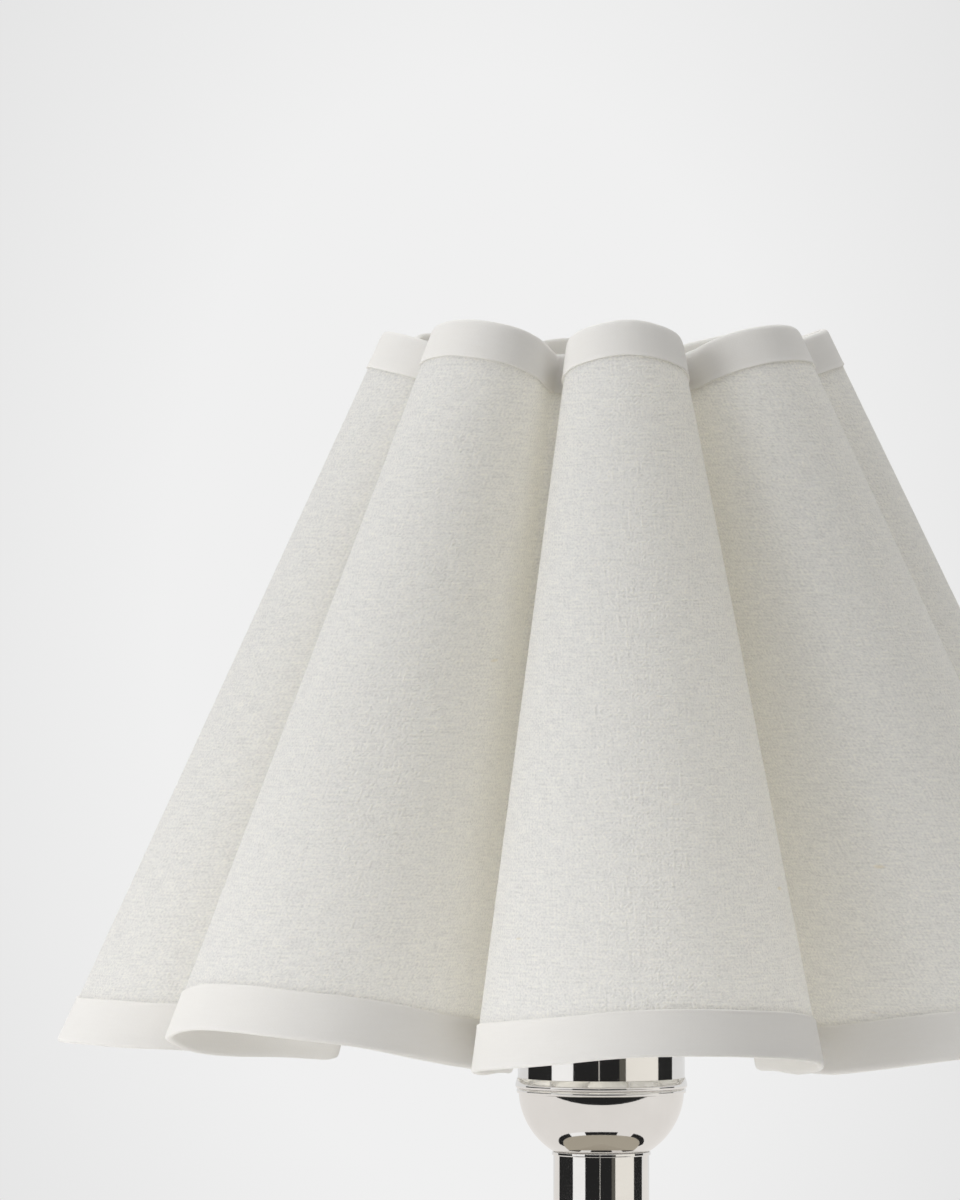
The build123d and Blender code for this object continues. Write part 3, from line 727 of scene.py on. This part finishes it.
trim = {
    "widths": (10.6, 8.6),  # of the lower and the upper binding, in mm
    "drawn": 10.0,  # width that the profile is drawn for
    "edge": 2.5,  # mm next to the cloth's edge that stay as drawn at any width
    "body": 8.0,  # mm from the edge over which another width is taken up
    "inside": -0.4,  # the profile is within the shade where it stands out by this or less
    "uneven": 0.05,  # mm that the folded edge strays
    "waves": ((7, 0.31, 1.0), (13, 0.17, 0.6)),  # waves a lobe, step from lobe to lobe, weight
    # how far the binding stands out from the cloth's outer face and how far it is from the edge, in mm:
    # outside from its folded edge down, round the edge, up the inside, and back along the cloth
    "profile": (
        (0.02, 10.0), (0.30, 10.05), (0.48, 9.95), (0.53, 9.75), (0.51, 9.5), (0.46, 9.25), (0.45, 8.9),
        (0.45, 7.0), (0.46, 5.0), (0.46, 2.5), (0.46, 1.0), (0.43, 0.3), (0.30, -0.2), (-0.05, -0.44),
        (-0.40, -0.5), (-0.75, -0.44), (-1.10, -0.2), (-1.27, 0.3), (-1.31, 1.5), (-1.31, 5.0),
        (-1.31, 9.0), (-1.24, 9.8), (-1.08, 10.05), (-0.82, 10.0), (-0.82, 5.0), (-0.82, 0.05),
        (0.02, 0.05), (0.02, 5.0),
    ),
}


def trimStray():
    # two sines along each lobe, which die out at its folds
    lobe = np.arange(lobeCount)[:, None]
    spot = np.linspace(0, 1, 2 * halfPoints + 1)[None, :]
    stray = 0.0
    for count, step, weight in trim["waves"]:
        stray = stray + weight * np.sin(2 * np.pi * (count * spot + step * lobe))
    return stray * np.sin(np.pi * spot) * trim["uneven"]


def makeTrim(name, edge, upwards, width):
    # the profile carried round an edge of the cloth: each profile point is a grown outline at its own
    # distance from the edge, with a slow unevenness along the way
    low, high = outerWall
    lineReach = np.linalg.norm(high - low, axis=-1) / (shareHigh - shareLow)
    lineLong = np.sqrt(lineReach**2 + shade["height"] ** 2)
    uneven = trimStray()
    points, uRows, vRows = [], [], []
    for grow, inset in trim["profile"] + trim["profile"][:1]:
        wall = shadeWall(grow * mm)
        stray = uneven * (inset > trim["body"]) * mm
        if inset >= trim["edge"]:
            inset = inset + (width - trim["drawn"]) * min(1.0, inset / trim["body"])
        share = edge + upwards * (inset * mm + stray) / lineLong
        points.append(closeRound(onWall(wall, share)))
        uRows.append(lobeRuns(wall, share))
        vRows.append(np.full(edge.shape, (inset if grow > trim["inside"] else -1.0 - inset) * mm))
    points = np.stack(points[:-1])
    faces = gridFaces(len(points), shadeColumns, True, True)
    return meshPiece(name, points, faces, clothUv(uRows, vRows), sharpAngle=75)


bottomTrim = makeTrim("shadeBottomBinding", lowEdge, 1, trim["widths"][0])
topTrim = makeTrim("shadeTopBinding", highEdge, -1, trim["widths"][1])
dress(shadeCloth, linen, "shade", "linen", "shade_panel")
dress(bottomTrim, binding, "shade", "linen_binding", "shade_bottom_trim")
dress(topTrim, binding, "shade", "linen_binding", "shade_top_trim")
refinish(enamel, "fitter_ring", "fitter_arms", "frame_bottom_ring", "frame_top_ring", "frame_ribs")
print("shade: cloth and bindings")


# Stand: foot, stem and gallery, turned pieces with their sizes in mm

foot = {
    "radius": 65.0,
    "plate": 1.5,  # height of the lower edge
    "rim": 6.0,
    "round": 3.0,
    "rise": 3.5,
    "sweep": 14.0,
    "sheet": 1.2,
    "neck": 12.2,
    "wallRows": (0.15, 0.5, 3.0, 5.6),  # above the lower edge
}
footTop = foot["plate"] + foot["rim"] + foot["round"] + foot["rise"] + foot["sweep"]


def footSide(inset):
    # wall, bend, slope eased at both ends, and hollow sweep up to the stem
    bendZ = foot["plate"] + foot["rim"]
    slopeZ = bendZ + foot["round"]
    bendR = foot["radius"] - foot["round"]
    sweepR = foot["neck"] + foot["sweep"]
    rows = foot["plate"] + np.array(foot["wallRows"])
    wall = np.stack([0 * rows + foot["radius"] - inset, rows], -1)
    bendArc = arcRun((bendR, bendZ), foot["round"] - inset, 0, 90, 12)
    ease = np.linspace(0, 1, 40)[1:-1]
    slope = np.stack([mix(bendR, sweepR, ease), slopeZ - inset + foot["rise"] * smoothStep(ease)], -1)
    sweep = arcRun((sweepR, footTop), foot["sweep"] + inset, 270, 180, 28)
    return np.concatenate([wall, bendArc, slope, sweep])


footOutline = np.concatenate([footSide(0.0), footSide(foot["sheet"])[::-1]])

stem = {"bore": 10.0, "radius": 11.0, "low": 16.0, "high": 262.0, "rounds": (0.15, 0.15, 0.3, 0.2)}
footBead = {"seat": 0.6, "out": 1.1, "round": 1.5}  # flat at the stem, then the roll's middle and radius
seatR = stem["radius"] + footBead["seat"]
rollMiddle = (stem["radius"] + footBead["out"], footTop + footBead["round"])
rollTop = footTop + 2 * footBead["round"]
ringOutline = np.concatenate(
    [
        [[stem["radius"], footTop], [seatR, footTop]],
        arcRun(rollMiddle, footBead["round"], -90, 90, 16),
        [[seatR, rollTop], [stem["radius"], rollTop]],
    ]
)

cup = {"low": 231.6, "depth": 14.2, "rim": 19.0, "bow": 17.0, "wall": 1.2}
cupTop = cup["low"] + cup["depth"]
cupOutside = bowRun((stem["radius"], cup["low"]), (cup["rim"], cupTop), cup["bow"], 40)
cupInside = bowRun(
    (stem["radius"], cup["low"] + 2 * cup["wall"]),
    (cup["rim"] - cup["wall"], cupTop),
    cup["bow"] - cup["wall"],
    24,
)
cupOutline = np.concatenate([cupOutside, cupInside[::-1]])

underCup = {
    "bore": stem["radius"],
    "radius": stem["radius"] + 0.3,
    "low": cup["low"] - 0.8,
    "high": cup["low"],
    "rounds": (0.03, 0.12, 0.12, 0.03),
}

collar = {"bore": 18.15, "radius": 19.15, "low": 248.0, "high": 276.0, "rounds": (0.05, 0.05, 0.3, 0.3)}
bead = {
    "bore": 18.2,
    "low": 245.0,
    "lowRoll": (1.2, 0.3),  # height of the small roll on the cup, and how far it stands out
    "highRoll": (2.4, 0.55),
    "blunt": 0.6,  # power that flattens the higher roll's nose
}


def beadOutline():
    # the small roll is half an ellipse; the other swells most at a quarter of its height, where a sine of
    # the height's root is largest, and slopes back to the collar
    lowTall, lowOut = bead["lowRoll"]
    highTall, highOut = bead["highRoll"]
    turn = np.linspace(0, np.pi, 14)
    rise = np.linspace(0, 1, 28)
    middle = bead["low"] + lowTall
    swell = np.sin(np.pi * np.sqrt(rise)).clip(0) ** bead["blunt"]
    lowRoll = np.stack(
        [collar["radius"] + lowOut * np.sin(turn), bead["low"] + lowTall * (1 - np.cos(turn)) / 2], -1
    )
    highRoll = np.stack([collar["radius"] + highOut * swell, middle + highTall * rise], -1)
    start, end = [bead["bore"], bead["low"]], [bead["bore"], middle + highTall]
    return np.concatenate([[start], lowRoll, highRoll[1:], [end]])


for name, outline, turns, sharpAngle, node in (
    ("footShell", footOutline, 288, 50, "foot_shell"),
    ("footRing", ringOutline, 224, 40, "foot_ring"),
    ("stemTube", tubeOutline(**stem), 256, 40, "stem_tube"),
    ("galleryCup", cupOutline, 256, 40, "gallery_cup"),
    ("cupRing", tubeOutline(**underCup), 224, 40, "cup_ring"),
    ("galleryBead", beadOutline(), 256, 55, "gallery_bead"),
    ("galleryCollar", tubeOutline(**collar), 256, 40, "gallery_collar"),
):
    dress(lathe(name, outline, turns, sharpAngle), nickel, "stand", "polished_nickel", node)
refinish(nickel, "cap_pins", "gallery_deck", "chimney_clips", "clip_rivets", "candle_cap")
refinish(steel, "foot_plate", "plate_screws", "stem_nut", "stem_washer", "stem_bush", "follower")
refinish(iron, "foot_weight")
refinish(wax, "candle")
print("stand: turned pieces")

# Chimney: a plain glass tube with melted rims

tube = {"bore": 14.6, "radius": 16.2, "low": 249.2, "high": 389.2, "rounds": (0.75,) * 4, "steps": 8}
chimney = lathe("glassChimney", tubeOutline(**tube), 160)
dress(chimney, glass, "chimney", "clear_glass", "chimney")

# ground upper rim: a thin skin carried round the melted edge, a little past level on both sides
rim = {"proud": 0.08, "skin": 0.06, "past": 8}
halfWall = (tube["radius"] - tube["bore"]) / 2
rimMiddle = (tube["bore"] + halfWall, tube["high"] - halfWall)
rimReach = halfWall + rim["proud"]
rimOutside = arcRun(rimMiddle, rimReach, -rim["past"], 180 + rim["past"], 18)
rimInside = arcRun(rimMiddle, rimReach - rim["skin"], 180 + rim["past"], -rim["past"], 18)
groundRim = lathe("groundRim", np.concatenate([rimOutside, rimInside]), 160)
dress(groundRim, frosted, "chimney", "clear_glass")

# Felt under the foot

feltPad = {
    "radius": 62.0,
    "thick": 1.5,
    "soft": 1.0,  # width of the soft edge
    "softRings": (0.4, 0.7, 0.9, 1.0),
    "fuzz": 0.12,
    "waves": ((1.7, 0.6), (-0.8, 1.3)),  # radians a mm along x and y
    "turns": 180,
}


def makeFelt():
    # flat disc with a soft edge, its faces roughened by waves that cross each other
    flatReach = feltPad["radius"] - feltPad["soft"]
    softRings = flatReach + feltPad["soft"] * np.array(feltPad["softRings"])
    rings = np.concatenate([np.linspace(0.5, flatReach, 36), softRings])
    soft = np.clip((feltPad["radius"] - rings) / feltPad["soft"], 0, 1)
    middle = feltPad["thick"] / 2
    half = middle * np.sqrt(np.clip(1 - (1 - soft) ** 2, 0.02, 1))
    upper = np.stack([rings, middle + half], -1)
    lower = np.stack([rings, middle - half], -1)
    outline = np.concatenate([upper, lower[::-1]])
    rows, turns = len(outline), feltPad["turns"]
    x, y, height = np.moveaxis(spin(outline, turns), -1, 0)
    first, second = (np.sin(a * x + b * y) for a, b in feltPad["waves"])
    fuzz = first * second * feltPad["fuzz"]
    height = np.clip(height - np.abs(fuzz) * np.sign(height - middle), 0, feltPad["thick"])
    points = np.stack([x, y, height], -1) * mm
    faces = gridFaces(rows, turns, False, True)
    return meshPiece("baseFelt", points, faces, extraFaces=endCaps(rows, turns), sharpAngle=70)


dress(makeFelt(), felt, "stand", "felt", "felt_pad")

# Candle feed: the spring and the wick

coil = {"radius": 8.1, "wire": 0.8, "low": 33.1, "high": 114.9, "turns": 11, "steps": 44, "sides": 14}


def makeSpring():
    # round wire: circles in the plane square to a helix, one turn after another
    turn = np.linspace(0, 2 * np.pi * coil["turns"], coil["turns"] * coil["steps"] + 1)
    rise = (coil["high"] - coil["low"]) / turn[-1]
    out = np.stack([np.cos(turn), np.sin(turn), 0 * turn], -1)
    way = np.stack([-coil["radius"] * np.sin(turn), coil["radius"] * np.cos(turn), rise + 0 * turn], -1)
    way /= np.linalg.norm(way, axis=1, keepdims=True)
    up = np.cross(way, -out)
    centre = coil["radius"] * out + np.stack([0 * turn, 0 * turn, coil["low"] + rise * turn], -1)
    ring = fullTurn(coil["sides"])[None, :, None]
    points = centre[:, None] + coil["wire"] * (np.cos(ring) * out[:, None] + np.sin(ring) * up[:, None])
    rows, sides = len(turn), coil["sides"]
    faces = gridFaces(rows, sides, False, True)
    return meshPiece("feedSpring", points * mm, faces, extraFaces=endCaps(rows, sides), sharpAngle=60)


feedSpring = dress(makeSpring(), steel, "stand", "plain_steel", "feed_spring")
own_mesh(feedSpring)

wickShape = {
    "radius": 0.74,
    "low": 252.0,
    "high": 273.0,
    "strands": 3,
    "twist": 1.9,  # radians a mm
    "depth": 0.12,
    "tip": 1.0,  # length of the taper at the top
    "tipShare": 0.75,
    "rows": 64,
    "sides": 36,
}


def makeWick():
    # three twisted strands: the radius swells and sinks round the wick, and the pattern turns with height
    rows, sides = wickShape["rows"], wickShape["sides"]
    height = np.linspace(wickShape["low"], wickShape["high"], rows)[:, None]
    turn = fullTurn(sides)[None, :]
    swell = 1 + wickShape["depth"] * np.cos(wickShape["strands"] * (turn - wickShape["twist"] * height))
    left = (wickShape["high"] - height) / wickShape["tip"]
    taper = np.where(left < 1, mix(wickShape["tipShare"], 1.0, left), 1.0)
    radius = wickShape["radius"] * swell * taper
    points = np.stack([radius * np.cos(turn), radius * np.sin(turn), height + 0 * turn], -1)
    faces = gridFaces(rows, sides, False, True)
    return meshPiece("candleWick", points * mm, faces, extraFaces=endCaps(rows, sides), sharpAngle=60)


dress(makeWick(), cotton, "candle", "cotton_wick", "wick")
print("candle feed: spring and wick")


# Studio: pale floor that fades out, soft lamps, and cards that only the metal sees

floorLook = {
    "rings": (0.02, 0.2, 0.5, 0.9, 1.4, 2.0),
    "turns": 96,
    "colour": (0.86, 0.85, 0.835),
    "cloud": 30.0,
    "mottle": 1.02,  # how much lighter the paint is in places
    "fade": (0.5, 1.7),  # metres from the lamp over which it gives way to the backdrop
}


def makeFloor():
    # flat round floor on the plane z = 0, in rings
    rings = np.array(floorLook["rings"])[:, None]
    turns = floorLook["turns"]
    turn = fullTurn(turns)[None, :]
    points = np.stack([rings * np.cos(turn), rings * np.sin(turn), 0 * rings * turn], -1)
    faces = gridFaces(len(rings), turns, False, True).tolist()
    faces.append(list(range(turns))[::-1])
    return plainPiece("studioFloor", points, faces)


def floorFinish():
    # pale paint, which gives way to the backdrop further out
    finish, tree, shader = newFinish("studioFloor", {"Roughness": 0.8})
    where = put(tree, "TexCoord").outputs["Object"]
    lighter = tuple(c * floorLook["mottle"] for c in floorLook["colour"])
    cloud = noise(tree, where, floorLook["cloud"])
    colourBy(tree, shader, cloud, {"dark": floorLook["colour"], "light": lighter})
    away = put(tree, "VectorMath", links={0: where}, operation="LENGTH").outputs["Value"]
    near, far = floorLook["fade"]
    fade = put(tree, "MapRange", {"From Min": near, "From Max": far}, {"Value": away})
    clear = put(tree, "BsdfTransparent").outputs[0]
    blend = put(tree, "MixShader", links={0: fade.outputs["Result"], 1: shader.outputs[0], 2: clear})
    tree.links.new(blend.outputs[0], tree.nodes["Material Output"].inputs["Surface"])
    return finish


floor = makeFloor()
floor.data.materials.append(floorFinish())

cards = {
    "away": 2.4,
    "heights": (-0.3, 0.34),
    "highBand": (0.6, 1.3),
    "tableFront": -0.6,
    "half": 3.0,  # of the table and the room, to each side and back
    "tableHeight": 2 * mm,
    "ringHeight": 3 * mm,
    "ringBack": 65 * mm,  # middle of the rings behind the lamp's axis
    # rings for a painted reflection of a foot in the cup: a beige ring, a veil that paints it over the lamp's
    # own foot, and dark and white bands for the foot's rim
    "sheen": (10 * mm, 150 * mm),
    "band": (150 * mm, 178 * mm),
    "veil": (11.4 * mm, 67 * mm),  # over the lamp's own foot
    "veilHeight": 31.6 * mm,
}
tones = {
    "dark": (0.02, 0.02, 0.02),
    "grey": (0.11, 0.105, 0.09),
    "beige": (0.42, 0.38, 0.31),
    "silver": (0.42, 0.415, 0.41),
    "pale": (0.84, 0.815, 0.79),
    "warm": (0.90, 0.87, 0.81),
    "white": (1.0, 1.0, 1.0),
}


def makeCard(name, points, faces, tone, oneSided=False):
    # glowing card that only polished metal sees, from one side or from both
    card = plainPiece(name, points, faces.tolist())
    finish = bpy.data.materials.new(name)
    finish.use_nodes = True
    tree = finish.node_tree
    shown = put(tree, "Emission", {"Color": (*tones[tone], 1), "Strength": 1.0}).outputs[0]
    if oneSided:
        behind = put(tree, "NewGeometry").outputs["Backfacing"]
        clear = put(tree, "BsdfTransparent").outputs[0]
        shown = put(tree, "MixShader", links={0: behind, 1: shown, 2: clear}).outputs[0]
    tree.links.new(shown, tree.nodes["Material Output"].inputs["Surface"])
    card.data.materials.append(finish)
    card.visible_camera = card.visible_diffuse = card.visible_transmission = False
    card.visible_shadow = card.visible_volume_scatter = False


def uprightCard(name, fromTurn, toTurn, tone, away=cards["away"], heights=cards["heights"]):
    # strip of a cylinder round the lamp, angles in degrees from the camera's side towards the right
    turn = np.radians(np.linspace(fromTurn, toTurn, 24))[None, :]
    height = np.linspace(*heights, 6)[:, None]
    x, y = away * np.sin(turn) + 0 * height, -away * np.cos(turn) + 0 * height
    makeCard(name, np.stack([x, y, height + 0 * turn], -1), gridFaces(6, 24), tone)


def ringCard(name, reaches, fromTurn, toTurn, tone, back=cards["ringBack"], height=cards["ringHeight"]):
    # flat part of a ring about a point behind the lamp's axis, seen from above, angles as for an upright card
    turn = np.radians(np.linspace(fromTurn, toTurn, 48))[None, :]
    reach = np.linspace(*reaches, 4)[:, None]
    points = np.stack([reach * np.sin(turn), back - reach * np.cos(turn), height + 0 * reach * turn], -1)
    makeCard(name, points, gridFaces(4, 48)[:, ::-1], tone, oneSided=True)


def sheetCard(name, front, back, tone):
    # flat rectangle, as wide to the left as to the right
    side = np.linspace(-cards["half"], cards["half"], 9)
    across, deep = np.meshgrid(side, np.linspace(front, back, 9))
    makeCard(name, np.stack([across, deep, cards["tableHeight"] + 0 * across], -1), gridFaces(9, 9), tone)


for name, fromTurn, toTurn, tone, nearer in (
    ("darkCardLeft", -121, -72, "dark", 0.0),
    ("whiteCardLeft", -72, -39, "white", 0.0),
    ("darkCardFront", -39, 25, "dark", 0.0),
    ("lightSlit", -3.4, -2.6, "warm", 0.1),
    ("greyCardFront", 25, 34, "grey", 0.0),
    ("warmCardRight", 34, 85, "warm", 0.0),
    ("darkCardRight", 85, 115, "dark", 0.0),
):
    uprightCard(name, fromTurn, toTurn, tone, cards["away"] - nearer)
uprightCard("highBand", -180, 180, "silver", heights=cards["highBand"])
sheetCard("table", cards["tableFront"], cards["half"], "pale")
sheetCard("darkRoom", -cards["half"], cards["tableFront"], "dark")  # beyond the front of the table
# painted reflection of a foot in the cup, laid over the reflection of the lamp's own foot
ringCard("paintedFootReflection", cards["sheen"], -180, 180, "beige")
ringCard("paintedFootVeil", cards["veil"], -180, 180, "beige", 0.0, cards["veilHeight"])
for name, fromTurn, toTurn, tone in (
    ("paintedRimBandLeft", -122, -60, "dark"),
    ("paintedRimBandWhite", -60, -28, "white"),
    ("paintedRimBandFront", -28, 28, "dark"),
    ("paintedRimBandRight", 60, 122, "dark"),
):
    ringCard(name, cards["band"], fromTurn, toTurn, tone)

insideLight = {
    "shares": (0.05, 0.925),  # of the shade's height
    "reach": 0.6,  # of the lobes' reach
    "power": 0.8,
    "size": 8 * mm,
}


def addLamp(name, kind, power, place):
    lamp = bpy.data.objects.new(name, bpy.data.lights.new(name, kind))
    scene.collection.objects.link(lamp)
    lamp.data.energy = power
    lamp.location = place
    return lamp


def makeInsideLamps():
    # weak light low and high in each lobe of the shade, in place of what its cloth scatters there
    for lobe, share in itertools.product(range(lobeCount), insideLight["shares"]):
        angle = math.radians(mix(shade["bottomAngle"][lobe], shade["topAngle"][lobe], share))
        reach = insideLight["reach"] * mix(*shade["lobeReach"], share)
        height = shade["lowTips"] + shade["height"] * share
        place = (reach * math.sin(angle), -reach * math.cos(angle), height)
        lamp = addLamp("insideLamp", "POINT", insideLight["power"] * reach**2, place)
        lamp.data.shadow_soft_size = insideLight["size"]
        lamp.visible_camera = lamp.visible_glossy = lamp.visible_transmission = False


keyLight = {
    "turn": -58.0,  # degrees from the camera's side towards the right
    "rise": 8.0,  # degrees above level
    "away": 1.7,
    "size": (1.0, 1.2),
    "power": 15.2,
    "target": (0.0, 0.0, 0.33),
}


def makeKeyLamp():
    # area lamp on a ball about its target, which it faces
    target = Vector(keyLight["target"])
    turn, rise = math.radians(keyLight["turn"]), math.radians(keyLight["rise"])
    flat = math.cos(rise)
    way = Vector((math.sin(turn) * flat, -math.cos(turn) * flat, math.sin(rise)))
    lamp = addLamp("keyLamp", "AREA", keyLight["power"], target + keyLight["away"] * way)
    lamp.data.shape = "RECTANGLE"
    lamp.data.size, lamp.data.size_y = keyLight["size"]
    lamp.rotation_euler = (-way).to_track_quat("-Z", "Y").to_euler()
    lamp.visible_glossy = False


makeInsideLamps()
makeKeyLamp()

backdrop = {
    "tones": (0.871, 0.787),  # that the camera sees behind the lamp, and further out
    "bright": (-0.015, 0.9999, 0.0),  # way towards the brightest place
    "spread": (1.0, 1.0, 0.57),  # it darkens more slowly upwards than to the sides
    "fade": (0.40, 0.75),  # tenths away from the brightest place, from one tone to the other
    "tenths": 10.0,
    "fromBehind": 0.65,  # light that it sheds
    "fromAbove": 1.2,
}


def makeWorld():
    # light from behind and above, and the backdrop's tone where the camera, metal or glass looks past
    # the lamp
    world = bpy.data.worlds.new("studio")
    scene.world = world
    world.use_nodes = True
    tree = world.node_tree
    soft = tree.nodes["Background"]
    soft.inputs["Color"].default_value = (1, 1, 1, 1)
    way = put(tree, "TexCoord").outputs["Generated"]
    parts = put(tree, "SeparateXYZ", links={"Vector": way})
    behind = maths(tree, "MULTIPLY", maths(tree, "MAXIMUM", parts.outputs["Y"], 0.0), backdrop["fromBehind"])
    above = maths(tree, "MULTIPLY", maths(tree, "MAXIMUM", parts.outputs["Z"], 0.0), backdrop["fromAbove"])
    tree.links.new(maths(tree, "ADD", behind, above), soft.inputs["Strength"])
    off = put(tree, "VectorMath", {1: backdrop["bright"]}, {0: way}, operation="SUBTRACT")
    off = put(tree, "VectorMath", {1: backdrop["spread"]}, {0: off.outputs["Vector"]}, operation="MULTIPLY")
    away = put(tree, "VectorMath", links={0: off.outputs["Vector"]}, operation="LENGTH")
    stops = [(spot, (tone,) * 3) for spot, tone in zip(backdrop["fade"], backdrop["tones"])]
    tone = ramp(tree, maths(tree, "MULTIPLY", away.outputs["Value"], backdrop["tenths"]), stops)
    shown = put(tree, "Background", {"Strength": 1.0}, {"Color": tone})
    path = put(tree, "LightPath")
    seen = maths(tree, "MAXIMUM", path.outputs["Is Camera Ray"], path.outputs["Is Glossy Ray"])
    seen = maths(tree, "MAXIMUM", seen, path.outputs["Is Transmission Ray"])
    blend = put(tree, "MixShader", links={0: seen, 1: soft.outputs[0], 2: shown.outputs[0]})
    tree.links.new(blend.outputs[0], tree.nodes["World Output"].inputs["Surface"])


makeWorld()
print("studio: floor, cards, lamps")
